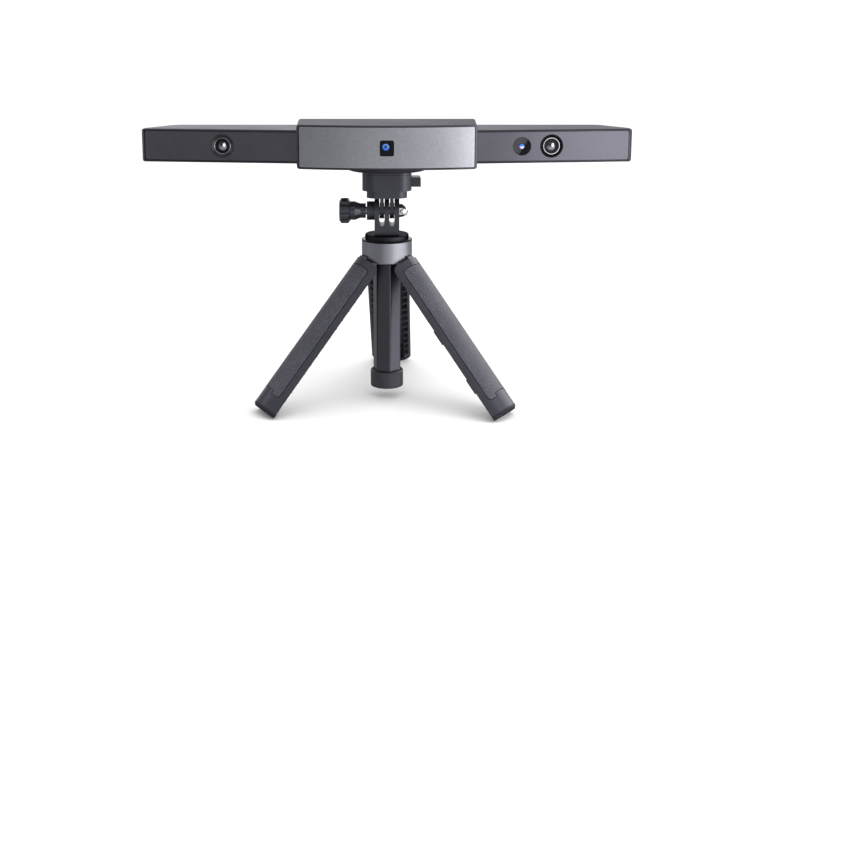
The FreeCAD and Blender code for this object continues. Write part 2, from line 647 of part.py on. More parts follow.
def make_usb_socket():
    """The inlet's metal shell with its tongue."""
    shell = part_rounded(box(("usb_x - usb_wide / 2", "usb_x + usb_wide / 2"),
                             ("board_y + board_thick", "block_back - 0.2"),
                             ("optic_z - usb_high / 2", "optic_z + usb_high / 2")),
                         lambda edge: runs_along(edge, Y_AXIS), size("usb_high") / 2 - 0.01)
    hollow = part_rounded(box(("usb_x - usb_wide / 2 + 0.35", "usb_x + usb_wide / 2 - 0.35"),
                              ("board_y + board_thick + 1.2", "block_back + 1"),
                              ("optic_z - usb_high / 2 + 0.35", "optic_z + usb_high / 2 - 0.35")),
                          lambda edge: runs_along(edge, Y_AXIS), size("usb_high") / 2 - 0.36)
    tongue = box(("usb_x - 3.3", "usb_x + 3.3"), ("board_y + board_thick + 1", "block_back - 1.6"),
                 ("optic_z - 0.35", "optic_z + 0.35"))
    return keep("usb_socket", joined(cut(shell, hollow), tongue))


def make_button():
    """The scan button: a domed cap on a stem, with a flange that keeps it in the cover."""
    profile = [("0", "block_back - 7"), ("2.2", "block_back - 7"), ("2.2", "block_back - 4.6"),
               ("button_radius + 0.8", "block_back - 4.6"),
               ("button_radius + 0.8", "block_back - cover_thick - button_gap - 1"),
               ("button_radius", "block_back - cover_thick - button_gap - 1"),
               ("button_radius", "block_back + 0.35"), ("button_radius - 0.5", "block_back + 0.8"),
               ("button_radius - 2", "block_back + 0.95"), ("0", "block_back + 0.7")]
    body = document.addObject("PartDesign::Body", "scan_button")
    sketch = sketch_on(body, "XY_Plane")
    outline(sketch, profile)
    turn = body.newObject("PartDesign::Revolution", "Turn")
    turn.Profile = sketch
    turn.ReferenceAxis = (sketch, ["V_Axis"])
    turn.Angle = 360
    body.Label = "scan_button"
    bind(body, Placement__Base__x="button_x", Placement__Base__y="axis_y",
         Placement__Base__z="optic_z")
    pieces.append(body)


def make_cable(name, side):
    """A flat ribbon from a camera module to the main board, laid in three straight folds."""
    far = "(camera_x - 9)"
    near = "(board_half - 6)"
    long_run = box(sorted_range(side, near, far), ("rail_front + 3", "rail_front + 3.4"),
                   ("optic_z - 3", "optic_z + 3"))
    drop = box(sorted_range(side, near, near + " + 0.4"), ("rail_front + 3", "board_y"),
               ("optic_z - 3", "optic_z + 3"))
    return keep(name, joined(long_run, drop))


make_rail()
make_screws("rail_screws", [(x, "optic_z") for x in RAIL_SCREWS], "rail_front + rail_sheet", "5", "1")
make_board()
make_screws("board_screws", BOARD_SCREWS, "board_y + board_thick", "4", "1.2")
make_heat_sink()
make_usb_socket()
make_button()
keep("status_light", joined(rod("Y", ("light_x", "optic_z"), ("block_back - 3", "block_back + 0.1"),
                                "light_radius"),
                            rod("Y", ("light_x", "optic_z"), ("board_y + board_thick", "block_back - 3"),
                                "light_radius + 0.5")))
make_cable("left_ribbon_cable", LEFT)
make_cable("right_ribbon_cable", RIGHT)


# ---------------------------------------------------------------- under the bar: pad and thread

def make_base_pad():
    """The round pad under the block that the mount presses against."""
    disc = rod("Z", ("0", "0"), ("pad_low + pad_bevel", "block_low"), "pad_radius")
    bevel = cone("Z", ("0", "0"), ("pad_low", "pad_low + pad_bevel"), "pad_radius - pad_bevel",
                 "pad_radius")
    hole = rod("Z", ("0", "0"), ("pad_low - 1", "block_low + 1"), "insert_radius")
    return keep("base_pad", cut(joined(disc, bevel), hole))


make_base_pad()
keep("tripod_insert", cut(rod("Z", ("0", "0"), ("pad_low + 0.1", "insert_top"), "insert_radius"),
                          rod("Z", ("0", "0"), ("pad_low - 1", "insert_top - 0.8"), "thread_radius")))


# ---------------------------------------------------------------- quick-release mount

def rounded_prism(half_x, half_y, low, high, corner):
    """A block with its four upright edges rounded."""
    return part_rounded(box(("-(%s)" % half_x, half_x), ("-(%s)" % half_y, half_y), (low, high)),
                        lambda edge: runs_along(edge, Z_AXIS), corner)


def make_adapter_plate():
    """The plate screwed to the bar; the tongue below it drops into the release body."""
    flange = rounded_prism("mount_half", "mount_half", "mount_split + 0.15", "pad_low",
                           size("mount_round"))
    tongue = box(("-tongue_half", "tongue_half"), ("-tongue_half", "tongue_half"),
                 ("tongue_low", "mount_split + 0.15"))
    catch = box(("-tongue_half - 1", "-tongue_half + 1"), ("-latch_half_y", "latch_half_y"),
                ("tongue_low - 1", "hook_high + latch_gap"))
    bolt_way = rod("Z", ("0", "0"), ("tongue_low - 1", "pad_low + 1"), "bolt_radius + 0.02")
    head_way = rod("Z", ("0", "0"), ("tongue_low - 1", "tongue_low + 2.6"), "5.2")
    return keep("adapter_plate", cut(joined(flange, tongue), catch, bolt_way, head_way))


def make_mount_screw():
    """The quarter-inch screw with its flat slotted head inside the tongue."""
    shank = rod("Z", ("0", "0"), ("tongue_low + 0.3", "insert_top - 2.2"), "bolt_radius")
    head = rod("Z", ("0", "0"), ("tongue_low + 0.3", "tongue_low + 2.6"), "5.0")
    slot = box(("-6", "6"), ("-0.7", "0.7"), ("tongue_low", "tongue_low + 1.3"))
    return keep("mount_screw", cut(joined(shank, head), slot))


def make_release_body():
    """The socket that takes the adapter plate, stepped in below, with two fingers under it."""
    upper = rounded_prism("mount_half", "mount_half", "mount_step", "mount_split", size("mount_round"))
    lower = rounded_prism("mount_low_half_x", "mount_low_half_y", "mount_low", "mount_step",
                          size("mount_low_round"))
    fingers = []
    for side in ("-1 * ", "1 * "):
        centre = side + "finger_x"
        hub = rod("X", ("0", "pivot_z"), (centre + " - finger_thick / 2", centre + " + finger_thick / 2"),
                  "finger_hub")
        web = box((centre + " - finger_web / 2", centre + " + finger_web / 2"),
                  ("-finger_hub", "finger_hub"), ("pivot_z", "mount_low + 0.5"))
        fingers += [hub, web]
    pivot_way = rod("X", ("0", "pivot_z"), ("-20", "20"), "shaft_bore")
    socket = box(("-tongue_half - tongue_fit", "tongue_half + tongue_fit"),
                 ("-tongue_half - tongue_fit", "tongue_half + tongue_fit"),
                 ("latch_low + latch_sheet + 0.3", "mount_split + 1"))
    latch_way = box(("latch_left - latch_travel - latch_gap", "mount_half + 1"),
                    ("-latch_half_y - latch_gap", "latch_half_y + latch_gap"),
                    ("latch_low - latch_gap", "latch_low + latch_sheet + 0.4"))
    tab_way = box(("latch_tab_x - latch_travel - latch_gap", "mount_half + 1"),
                  ("-latch_half_y - latch_gap", "latch_half_y + latch_gap"),
                  ("latch_low - latch_gap", "latch_high + latch_gap"))
    hook_way = box(("latch_left - latch_travel - latch_gap", "0"),
                   ("-latch_half_y - latch_gap", "latch_half_y + latch_gap"),
                   ("latch_low", "hook_high + latch_gap"))
    spring_way = box(("-7.2", "3.2"), ("-1.6", "1.6"), ("latch_low - 2.8", "latch_low + 0.5"))
    return keep("release_body", cut(joined(upper, lower, *fingers), pivot_way, socket, latch_way,
                                    tab_way, hook_way, spring_way))


def make_latch():
    """The sliding latch: a thumb block at the side, a tray under the tongue and a far hook."""
    tray = box(("latch_left", "latch_tab_x + 1"), ("-latch_half_y", "latch_half_y"),
               ("latch_low", "latch_low + latch_sheet"))
    hook = box(("latch_left", "latch_left + hook_thick"), ("-latch_half_y + 0.5", "latch_half_y - 0.5"),
               ("latch_low", "hook_high"))
    tab = box(("latch_tab_x", "latch_end"), ("-latch_half_y", "latch_half_y"),
              ("latch_low", "latch_high"))
    tab = part_rounded(tab, lambda edge: runs_along(edge, Y_AXIS)
                       and edge.CenterOfMass.x > size("latch_end") - 0.1
                       and edge.CenterOfMass.z > size("latch_high") - 0.1, 1.2)
    lug = box(("1.6", "3"), ("-1.3", "1.3"), ("latch_low - 2.5", "latch_low + 0.2"))
    return keep("release_latch", joined(tray, hook, tab, lug))


def make_latch_spring():
    """A small coil spring along X that pushes the latch's lug outwards."""
    wire = 0.22
    coil = 1.05
    start = -7.0
    length = 8.4
    helix = Part.makeHelix(1.3, length - 2 * wire, coil)
    profile = Part.Wire(Part.makeCircle(wire, Vector(coil, 0, 0), Y_AXIS))
    solid = Part.Wire(helix).makePipeShell([profile], True, True)
    turn = Placement(Vector(start + wire, 0, size("latch_low") - 1.45), TURNS["X"])
    keep_shape("latch_spring", solid, turn)


make_adapter_plate()
make_mount_screw()
make_release_body()
make_latch()
make_latch_spring()


# ---------------------------------------------------------------- clevis and thumb screw

def make_clevis():
    """Three fingers on a block; the nearest carries a boss for the screw."""
    block = box(("-clevis_half", "clevis_half"), ("-clevis_deep", "clevis_deep"),
                ("disc_high", "pivot_z"))
    crown = rod("X", ("0", "pivot_z"), ("-clevis_half", "clevis_half"), "clevis_top")
    flat_top = box(("-20", "20"), ("-clevis_top", "clevis_top"), ("disc_high", "pivot_z + 20"))
    boss = rod("X", ("0", "pivot_z"), ("boss_end", "-clevis_half + 0.5"), "boss_radius")
    slots = []
    for side in ("-1 * ", "1 * "):
        centre = side + "finger_x"
        slots.append(box((centre + " - slot_wide / 2", centre + " + slot_wide / 2"), ("-20", "20"),
                         ("slot_floor + slot_wide / 2", "pivot_z + 20")))
        slots.append(rod("Y", (centre, "slot_floor + slot_wide / 2"), ("-20", "20"), "slot_wide / 2"))
    bore = rod("X", ("0", "pivot_z"), ("-20", "20"), "shaft_bore")
    return keep("clevis", cut(joined(common(joined(block, crown), flat_top), boss), bore, *slots))


def make_knob():
    """The thumb knob: a lobed head, a waisted neck, and a bore that grips the screw."""
    body = document.addObject("PartDesign::Body", "thumb_knob")
    sketch = sketch_on(body, "XY_Plane")
    outline(sketch, [("knob_far", "0"), ("knob_far", "knob_radius - 1.4"),
                     ("knob_far + 1.2", "knob_radius"), ("knob_head_end - 1.2", "knob_radius"),
                     ("knob_head_end", "knob_radius - 1.3"), ("knob_head_end + 0.3", "knob_neck"),
                     ("knob_head_end + 3", "knob_neck"), ("knob_near - 3.2", "knob_waist"),
                     ("knob_near", "knob_waist + 0.1"), ("knob_near", "shaft_radius"),
                     ("knob_far + 3", "shaft_radius"), ("knob_far + 3", "0")])
    turn = body.newObject("PartDesign::Revolution", "Turn")
    turn.Profile = sketch
    turn.ReferenceAxis = (sketch, ["H_Axis"])
    turn.Angle = 360
    flute = sketch_on(body, "YZ_Plane")
    bind(flute, AttachmentOffset__Base__z="knob_far - 1")
    circle(flute, ("0", "knob_radius + 1.6"), "2.5")
    groove = body.newObject("PartDesign::Pocket", "Flute")
    groove.Profile = flute
    groove.Reversed = True
    bind(groove, Length="knob_head_end - knob_far + 1")
    document.recompute()
    pattern = body.newObject("PartDesign::PolarPattern", "Flutes")
    pattern.Originals = [groove]
    pattern.Axis = (sketch, ["H_Axis"])
    pattern.Angle = 360
    pattern.Occurrences = 7
    body.Tip = pattern
    body.Label = "thumb_knob"
    bind(body, Placement__Base__y="axis_y", Placement__Base__z="pivot_z")
    pieces.append(body)


def make_nut():
    """The domed nut: a short hexagon under a half ball, bored for the screw."""
    prism = document.addObject("Part::Prism", "Hexagon")
    prism.Polygon = 6
    prism.Placement = Placement(Vector(), TURNS["X"])
    bind(prism, Circumradius="nut_radius + 0.3", Height="nut_end - nut_radius - clevis_half + 0.3",
         Placement__Base__x="clevis_half", Placement__Base__z="pivot_z")
    dome_ball = document.addObject("Part::Sphere", "Dome")
    bind(dome_ball, Radius="nut_radius", Placement__Base__x="nut_end - nut_radius",
         Placement__Base__z="pivot_z")
    beyond = box(("clevis_half + 0.2", "20"), ("-8", "8"), ("pivot_z - 8", "pivot_z + 8"))
    bore = rod("X", ("0", "pivot_z"), ("0", "nut_end - 1.6"), "shaft_bore")
    return keep("acorn_nut", cut(joined(prism, common(dome_ball, beyond)), bore))


make_clevis()
make_knob()
keep("thumb_screw", rod("X", ("0", "pivot_z"), ("knob_far + 3", "nut_end - 1.9"), "shaft_radius"))
make_nut()


# ---------------------------------------------------------------- pole, column and hub

def make_head_disc():
    """The turning disc under the clevis, with the stud that runs in the inner pole."""
    rim = rod("Z", ("0", "0"), ("disc_low", "disc_high - 0.5"), "disc_radius")
    bevel = cone("Z", ("0", "0"), ("disc_high - 0.5", "disc_high"), "disc_radius", "disc_radius - 0.5")
    stud = rod("Z", ("0", "0"), ("stud_low", "disc_low"), "stud_radius")
    return keep("head_disc", joined(rim, bevel, stud))


def tube(outer, inner, low, high):
    return cut(rod("Z", ("0", "0"), (low, high), outer),
               rod("Z", ("0", "0"), ("(%s) - 1" % low, "(%s) + 1" % high), inner))


def hexagon(corner, low, high):
    """A six-sided prism, turned a little so that no corner points straight sideways."""
    prism = document.addObject("Part::Prism", "Hexagon")
    prism.Polygon = 6
    prism.Placement = Placement(Vector(), Rotation(Z_AXIS, size("column_turn")))
    return bind(prism, Circumradius=corner, Height="(%s) - (%s)" % (high, low),
                Placement__Base__z=low)


def make_column():
    """The hexagonal tube that hangs from the hub, with rounded corners."""
    bar = part_rounded(hexagon("column_corner + 0.2", "column_low", "column_high"),
                       lambda edge: runs_along(edge, Z_AXIS), 1.3)
    bore = rod("Z", ("0", "0"), ("column_low - 1", "column_high + 1"), "column_bore")
    return keep("column", cut(bar, bore))


def make_column_cap():
    """A round cup over the column's lower end."""
    cup = part_rounded(rod("Z", ("0", "0"), ("cap_low", "cap_high"), "cap_radius"),
                       lambda edge: True, 0.6)
    seat = hexagon("column_corner + 0.25", "cap_low + cap_floor", "cap_high + 1")
    return keep("column_cap", cut(cup, seat))


def leg_angles():
    return [size("first_leg_angle") + 360.0 / int(size("leg_count")) * number
            for number in range(int(size("leg_count")))]


def around_axis(shape):
    """Copies of a shape at every leg, turned about the tripod's axis."""
    copies = []
    for angle in leg_angles():
        copy = shape.copy()
        copy.rotate(Vector(), Z_AXIS, angle)
        copies.append(copy)
    return copies


def make_collar_ring():
    """The anodised sleeve round the hub, notched for the legs' tongues."""
    low = size("ring_low")
    high = size("ring_high")
    outer = Part.makeCylinder(size("ring_radius_out"), high - low, Vector(0, 0, low))
    edges = [edge for edge in outer.Edges if isinstance(edge.Curve, Part.Circle)]
    outer = outer.makeChamfer(0.5, edges)
    lip = Part.makeCylinder(size("ring_radius_in"), high - low - 0.4, Vector(0, 0, low - 0.001))
    mouth = Part.makeCylinder(size("disc_radius") - 1.5, high, Vector())
    half = size("notch_half")
    notch = Part.makeBox(20.0, 2 * half, size("notch_high"), Vector(5.0, -half, 0))
    return keep_shape("collar_ring", outer.cut([lip, mouth] + around_axis(notch)))


def make_hub():
    """The moulded hub that holds the column and the hinge pins, slotted for the tongues."""
    low = size("hub_low")
    high = size("hub_high")
    outer = Part.makeCylinder(size("hub_radius"), high - low, Vector(0, 0, low))
    # the cylinder's seam is turned to lie between two legs, clear of the slots
    outer.rotate(Vector(), Z_AXIS, size("first_leg_angle") + 60.0)
    corner = size("column_corner") + 0.25
    points = [Vector(corner * math.cos(math.radians(60 * turn)),
                     corner * math.sin(math.radians(60 * turn)), low - 1) for turn in range(7)]
    seat = Part.Face(Part.makePolygon(points)).extrude(Vector(0, 0, size("column_high") - low + 1))
    seat.rotate(Vector(), Z_AXIS, size("column_turn"))
    bore = Part.makeCylinder(size("column_bore"), high + 2 - low, Vector(0, 0, low - 1))
    half = size("slot_half")
    hinge = Vector(size("hinge_radius"), -half, size("hinge_z"))
    clear = size("hinge_hub_radius") + 0.3
    slot = Part.makeCylinder(clear, 2 * half, hinge, Y_AXIS).fuse(
        Part.makeBox(20.0, 2 * half, size("hinge_z") - 80.0,
                     Vector(size("hinge_radius") - clear, -half, 80.0)))
    pin_way = Part.makeCylinder(size("pin_radius"), 2 * size("pin_half"),
                                Vector(size("hinge_radius"), -size("pin_half"), size("hinge_z")), Y_AXIS)
    for hollow in [seat, bore] + around_axis(slot) + around_axis(pin_way):
        outer = outer.cut(hollow)
    return keep_shape("leg_hub", outer)


def make_hinge_pins():
    pin = Part.makeCylinder(size("pin_radius"), 2 * size("pin_half"),
                            Vector(size("hinge_radius"), -size("pin_half"), size("hinge_z")), Y_AXIS)
    return keep_shape("hinge_pins", Part.makeCompound(around_axis(pin)))


make_head_disc()
keep("pole_inner", tube("middle_bore - stage_gap", "inner_bore + 0.02", "inner_low", "inner_high"))
keep("pole_middle", tube("column_bore - stage_gap", "middle_bore", "middle_low", "middle_high"))
make_column()
make_column_cap()
make_collar_ring()
make_hub()
make_hinge_pins()


# ---------------------------------------------------------------- legs

def sector(outer, inner, half_angle, low, high):
    """A length of tube wall, centred on +X, between two angles about the tripod's axis."""
    ring = Part.makeCylinder(outer, high - low, Vector(0, 0, low), Z_AXIS, 2 * half_angle)
    ring.rotate(Vector(), Z_AXIS, -half_angle)
    return ring.cut(Part.makeCylinder(inner, high - low + 2, Vector(0, 0, low - 1)))


def rounded_sector(outer, inner, half_angle, low, high, corner, corners=("top", "bottom")):
    """A sector whose upright edges turn into its ends by arcs of one radius."""
    shape = sector(outer, inner, half_angle, low, high)
    reach = math.radians(half_angle)
    tools = []
    for side in (-1, 1):
        for end in corners:
            level = high if end == "top" else low
            inward = -1 if end == "top" else 1
            block = Part.makeBox(20.0, 2 * corner, 2 * corner, Vector(0, -corner, -corner))
            block.translate(Vector(0, side * corner, -inward * corner))
            disc = Part.makeCylinder(corner, 20.0, Vector(), X_AXIS)
            tool = block.cut(disc)
            tool.translate(Vector(0, -side * corner, level + inward * corner))
            tool.rotate(Vector(), Z_AXIS, side * math.degrees(reach))
            tools.append(tool)
    return shape.cut(tools)


def leg_end():
    """The level of the leg's end when it is folded against the column."""
    return size("hinge_z") - size("leg_length")


def grip_shape(seam):
    """The grip's inlay: a rounded sector with a notch in the middle of its lower end."""
    top = size("leg_shoulder") - size("grip_top")
    bottom = leg_end() + size("grip_bottom")
    outer = size("leg_radius")
    inner = outer - size("grip_thick")
    seam_angle = math.degrees(seam / outer)
    half = size("grip_half_angle") - seam_angle
    blank = rounded_sector(outer + (1.0 if seam == 0 else 0.06), inner, half, bottom + seam, top - seam,
                           size("grip_round"))
    notch = rounded_sector(outer + 2, inner - 1, size("grip_notch_half_angle") + seam_angle,
                           bottom - 10.0, bottom + size("grip_notch") + seam, 1.0, ("top",))
    return blank.cut(notch)


def make_leg_shell():
    """The moulded shell: outer wall, two laddered side rails, hinge tongue and edge tabs."""
    outer = size("leg_radius")
    wall = size("leg_wall_radius")
    inner = size("leg_inner_radius")
    half = size("leg_half_angle")
    top = size("leg_shoulder")
    end = leg_end() + size("sole_thick")
    shape = rounded_sector(outer, inner, half, end, top, size("leg_round"), ("top",))
    cavity = sector(wall, 5.0, size("leg_cavity_half_angle"), end - 1, top + 1)
    lead = Part.makeCone(wall, wall + size("shoulder_lead"), size("shoulder_lead"),
                         Vector(0, 0, top - size("shoulder_lead")))
    pockets = [lead]
    for number in range(int(size("rung_count"))):
        low = top - 6.0 - size("rung_pitch") * (number + 1) + size("rung_thick")
        high = low + size("rung_pitch") - size("rung_thick")
        ring = sector(inner + size("rung_deep"), 5.0, half + 2.0, low, high)
        pockets.append(ring)
    shape = shape.cut([cavity] + pockets)
    for start in (size("edge_tab_first"), size("edge_tab_second")):
        tab = Part.makeBox(1.6, size("edge_tab") + 1.0, size("edge_tab_long"),
                           Vector(outer - 2.2, -size("edge_tab"), top - start - size("edge_tab_long")))
        tab = tab.makeChamfer(0.4, [edge for edge in tab.Edges if runs_along(edge, X_AXIS)
                                    and edge.CenterOfMass.y < 0])
        tab.rotate(Vector(), Z_AXIS, -half)
        shape = shape.fuse(tab)
    return shape.fuse(hinge_tongue()).cut([pin_hole(), grip_shape(0)]).removeSplitter()


def hinge_tongue():
    """The tongue that stands into the hub: a round eye, sloped to clear the ring when spread."""
    half = size("tongue_thick_half")
    hinge_x = size("hinge_radius")
    hinge_z = size("hinge_z")
    top = size("leg_shoulder")
    outer = size("leg_radius") - 0.2
    eye = size("hinge_hub_radius")
    wall = size("leg_wall_radius")
    slope = [Vector(hinge_x - eye, -half, top - 4.0), Vector(wall, -half, top - 10.0),
             Vector(outer, -half, top - 10.0), Vector(outer, -half, top + 1.1),
             Vector(hinge_x + 2.0, -half, hinge_z - 1.4), Vector(hinge_x + eye, -half, hinge_z),
             Vector(hinge_x - eye, -half, hinge_z)]
    web = Part.Face(Part.makePolygon(slope + slope[:1])).extrude(Vector(0, 2 * half, 0))
    round_eye = Part.makeCylinder(eye, 2 * half, Vector(hinge_x, -half, hinge_z), Y_AXIS)
    return web.fuse(round_eye)


def pin_hole():
    half = size("tongue_thick_half")
    return Part.makeCylinder(size("pin_radius") + size("pin_fit"), 4 * half,
                             Vector(size("hinge_radius"), -2 * half, size("hinge_z")), Y_AXIS)


def make_foot():
    """The rubber foot: a plug in the shell's end and a bevelled, grooved sole under it."""
    outer = size("leg_radius")
    half = size("leg_half_angle")
    end = leg_end()
    thick = size("sole_thick")
    sole = sector(outer, 1.0, half, end, end + thick)
    bevel = Part.makeCone(outer - size("sole_bevel"), outer + 0.4, size("sole_bevel") + 0.4,
                          Vector(0, 0, end))
    rest = Part.makeCylinder(outer + 0.4, thick, Vector(0, 0, end + size("sole_bevel") + 0.4))
    sole = sole.common(bevel.fuse(rest))
    plug = sector(size("leg_wall_radius") - 0.05, 1.0, size("leg_cavity_half_angle") - 0.5,
                  end + thick, end + thick + size("sole_plug"))
    chord = Part.makeBox(20.0, 40.0, 40.0, Vector(size("sole_chord"), -20.0, end - 1))
    plug_face = Part.makeBox(20.0, 40.0, 40.0, Vector(size("leg_inner_radius") * 0.9, -20.0, end + thick))
    sole = sole.common(chord)
    grooves = [Part.makeBox(20.0, 0.8, 0.7, Vector(0, offset - 0.4, end - 0.001))
               for offset in (-7.5, -5.0, -2.5, 0.0, 2.5, 5.0, 7.5)]
    return sole.fuse(plug.common(plug_face)).cut(grooves)


def spread(angle):
    """The placement of a leg at its azimuth, swung out about its hinge."""
    hinge = Vector(size("hinge_radius"), 0, size("hinge_z"))
    swing = Placement(hinge, Rotation(Y_AXIS, -size("spread_angle"))) * Placement(-hinge, Rotation())
    return Placement(Vector(), Rotation(Z_AXIS, angle)) * swing


def floor_trimmed(shape):
    """The foot with what would pass below the floor, at full spread, cut to a flat facet."""
    swing = spread(0)
    below = Part.makeBox(400.0, 400.0, 50.0, Vector(-200.0, -200.0, -50.0))
    below.Placement = swing.inverse() * below.Placement
    return shape.cut(below)


def make_legs():
    shell = make_leg_shell()
    grip = grip_shape(size("grip_seam"))
    foot = floor_trimmed(make_foot())
    for number, angle in enumerate(leg_angles(), start=1):
        keep_shape("leg_%d_shell" % number, shell.copy(), spread(angle))
        keep_shape("leg_%d_grip" % number, grip.copy(), spread(angle))
        keep_shape("leg_%d_foot" % number, foot.copy(), spread(angle))


make_legs()


# ---------------------------------------------------------------- checks and files

document.recompute()
for thing in document.Objects:
    if "Invalid" in thing.State or "Error" in thing.State:
        raise RuntimeError("%s (%s) failed: %s" % (thing.Name, thing.Label, thing.State))
for piece in pieces:
    if piece.Shape.isNull() or not piece.Shape.isValid():
        raise RuntimeError(piece.Label + " has no valid shape")
    if not piece.Shape.Solids:
        raise RuntimeError(piece.Label + " has no solid")

os.makedirs("parts", exist_ok=True)
whole = FreeCAD.BoundBox()
for piece in pieces:
    piece.Shape.exportStep("parts/%s.step" % piece.Label)
    whole.add(piece.Shape.BoundBox)
print("pieces", len(pieces))
print("box x %.3f to %.3f, y %.3f to %.3f, z %.3f to %.3f"
      % (whole.XMin, whole.XMax, whole.YMin, whole.YMax, whole.ZMin, whole.ZMax))
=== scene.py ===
import math
import bmesh
import bpy
from mathutils import Matrix, Vector


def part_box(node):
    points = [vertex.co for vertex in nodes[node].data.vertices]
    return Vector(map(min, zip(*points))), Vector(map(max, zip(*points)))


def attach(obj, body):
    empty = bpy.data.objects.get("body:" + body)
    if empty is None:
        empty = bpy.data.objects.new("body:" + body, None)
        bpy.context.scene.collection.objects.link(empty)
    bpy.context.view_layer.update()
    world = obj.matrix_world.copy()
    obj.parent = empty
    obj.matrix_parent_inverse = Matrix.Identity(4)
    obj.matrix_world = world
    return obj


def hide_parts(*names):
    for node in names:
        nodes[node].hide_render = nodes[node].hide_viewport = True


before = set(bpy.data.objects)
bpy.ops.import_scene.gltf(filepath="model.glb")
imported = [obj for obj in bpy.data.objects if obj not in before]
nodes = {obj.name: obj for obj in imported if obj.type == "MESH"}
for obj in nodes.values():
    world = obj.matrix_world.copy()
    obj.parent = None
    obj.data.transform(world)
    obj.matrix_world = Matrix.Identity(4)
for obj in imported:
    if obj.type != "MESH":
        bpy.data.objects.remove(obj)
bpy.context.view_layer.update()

scene = bpy.context.scene
AXIS_Y = (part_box("collar_ring")[0].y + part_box("collar_ring")[1].y) / 2   # the tripod's own axis


# ------------------------------------------------------------ camera

SENSOR_WIDE = 36.0
FOCAL_LENGTH = 51.437647
SHIFT_ACROSS = 0.04482353          # shifts are in parts of the picture's width
SHIFT_UP = -0.20348235
CAMERA_BACK = 0.7399
CAMERA_HEIGHT = 0.2347
CAMERA_DOWN = 10.883               # degrees below level
camera_data = bpy.data.cameras.new("Camera")
camera = bpy.data.objects.new("Camera", camera_data)
scene.collection.objects.link(camera)
camera_data.sensor_width = SENSOR_WIDE
camera_data.lens = FOCAL_LENGTH
camera_data.shift_x = SHIFT_ACROSS
camera_data.shift_y = SHIFT_UP
camera_data.clip_start = 0.02
camera_data.clip_end = 100.0
camera.location = (0.0, AXIS_Y - CAMERA_BACK, CAMERA_HEIGHT)
camera.rotation_euler = (math.radians(90.0 - CAMERA_DOWN), 0.0, 0.0)
scene.camera = camera
scene.view_settings.view_transform = "Standard"
scene.view_settings.look = "None"


# ------------------------------------------------------------ material helpers

class Nodes:
    """A small wrapper that makes and links shader nodes of one material."""

    def __init__(self, name):
        self.material = bpy.data.materials.new(name)
        self.material.use_nodes = True
        self.tree = self.material.node_tree
        self.shader = self.tree.nodes["Principled BSDF"]
        self.place = self.add("ShaderNodeTexCoord").outputs["Object"]

    def add(self, kind, inputs=None, **settings):
        node = self.tree.nodes.new(kind)
        for key, value in settings.items():
            setattr(node, key, value)
        for key, value in (inputs or {}).items():
            self.put(node.inputs[key], value)
        return node

    def put(self, socket, value):
        if isinstance(value, bpy.types.NodeSocket):
            self.tree.links.new(value, socket)
        else:
            socket.default_value = value

    def set(self, **values):
        names = {"color": "Base Color", "metal": "Metallic", "rough": "Roughness", "normal": "Normal",
                 "specular": "Specular IOR Level", "edge_tint": "Specular Tint",
                 "emission": "Emission Color", "emission_strength": "Emission Strength"}
        for key, value in values.items():
            self.put(self.shader.inputs[names[key]], value)
        return self

    def noise(self, scale, detail=3.0, rough=0.55):
        return self.add("ShaderNodeTexNoise", {"Vector": self.place, "Scale": scale, "Detail": detail,
                                               "Roughness": rough}).outputs["Fac"]

    def cells(self, scale, feature="F1"):
        return self.add("ShaderNodeTexVoronoi", {"Vector": self.place, "Scale": scale},
                        feature=feature).outputs["Distance"]

    def ramp(self, value, stops):
        node = self.add("ShaderNodeValToRGB", {"Fac": value})
        bar = node.color_ramp.elements
        while len(bar) < len(stops):
            bar.new(0.5)
        for element, (position, color) in zip(bar, stops):
            element.position = position
            element.color = color if len(color) == 4 else (*color, 1.0)
        return node.outputs["Color"]

    def span(self, value, low, high, from_low=0.0, from_high=1.0):
        return self.add("ShaderNodeMapRange", {"Value": value, "From Min": from_low,
                                               "From Max": from_high, "To Min": low,
                                               "To Max": high}).outputs[0]

    def math(self, operation, first, second):
        return self.add("ShaderNodeMath", {0: first, 1: second}, operation=operation).outputs[0]

    def mix(self, factor, first, second, blend="MIX"):
        node = self.add("ShaderNodeMix", data_type="RGBA", blend_type=blend)
        self.put(node.inputs[0], factor)
        self.put(node.inputs[6], first if isinstance(first, bpy.types.NodeSocket) else (*first, 1.0))
        self.put(node.inputs[7], second if isinstance(second, bpy.types.NodeSocket) else (*second, 1.0))
        return node.outputs[2]

    def bump(self, height, strength, distance, normal=None):
        inputs = {"Height": height, "Strength": strength, "Distance": distance}
        if normal is not None:
            inputs["Normal"] = normal
        return self.add("ShaderNodeBump", inputs).outputs["Normal"]

    def part(self, axis):
        """One coordinate of the object-space position."""
        return self.add("ShaderNodeSeparateXYZ", {0: self.place}).outputs[axis]


PLASTIC_TINT = (0.88, 0.88, 1.0, 1.0)    # moulded parts reflect a little blue


def shade(color, factor):
    return tuple(min(1.0, channel * factor) for channel in color)


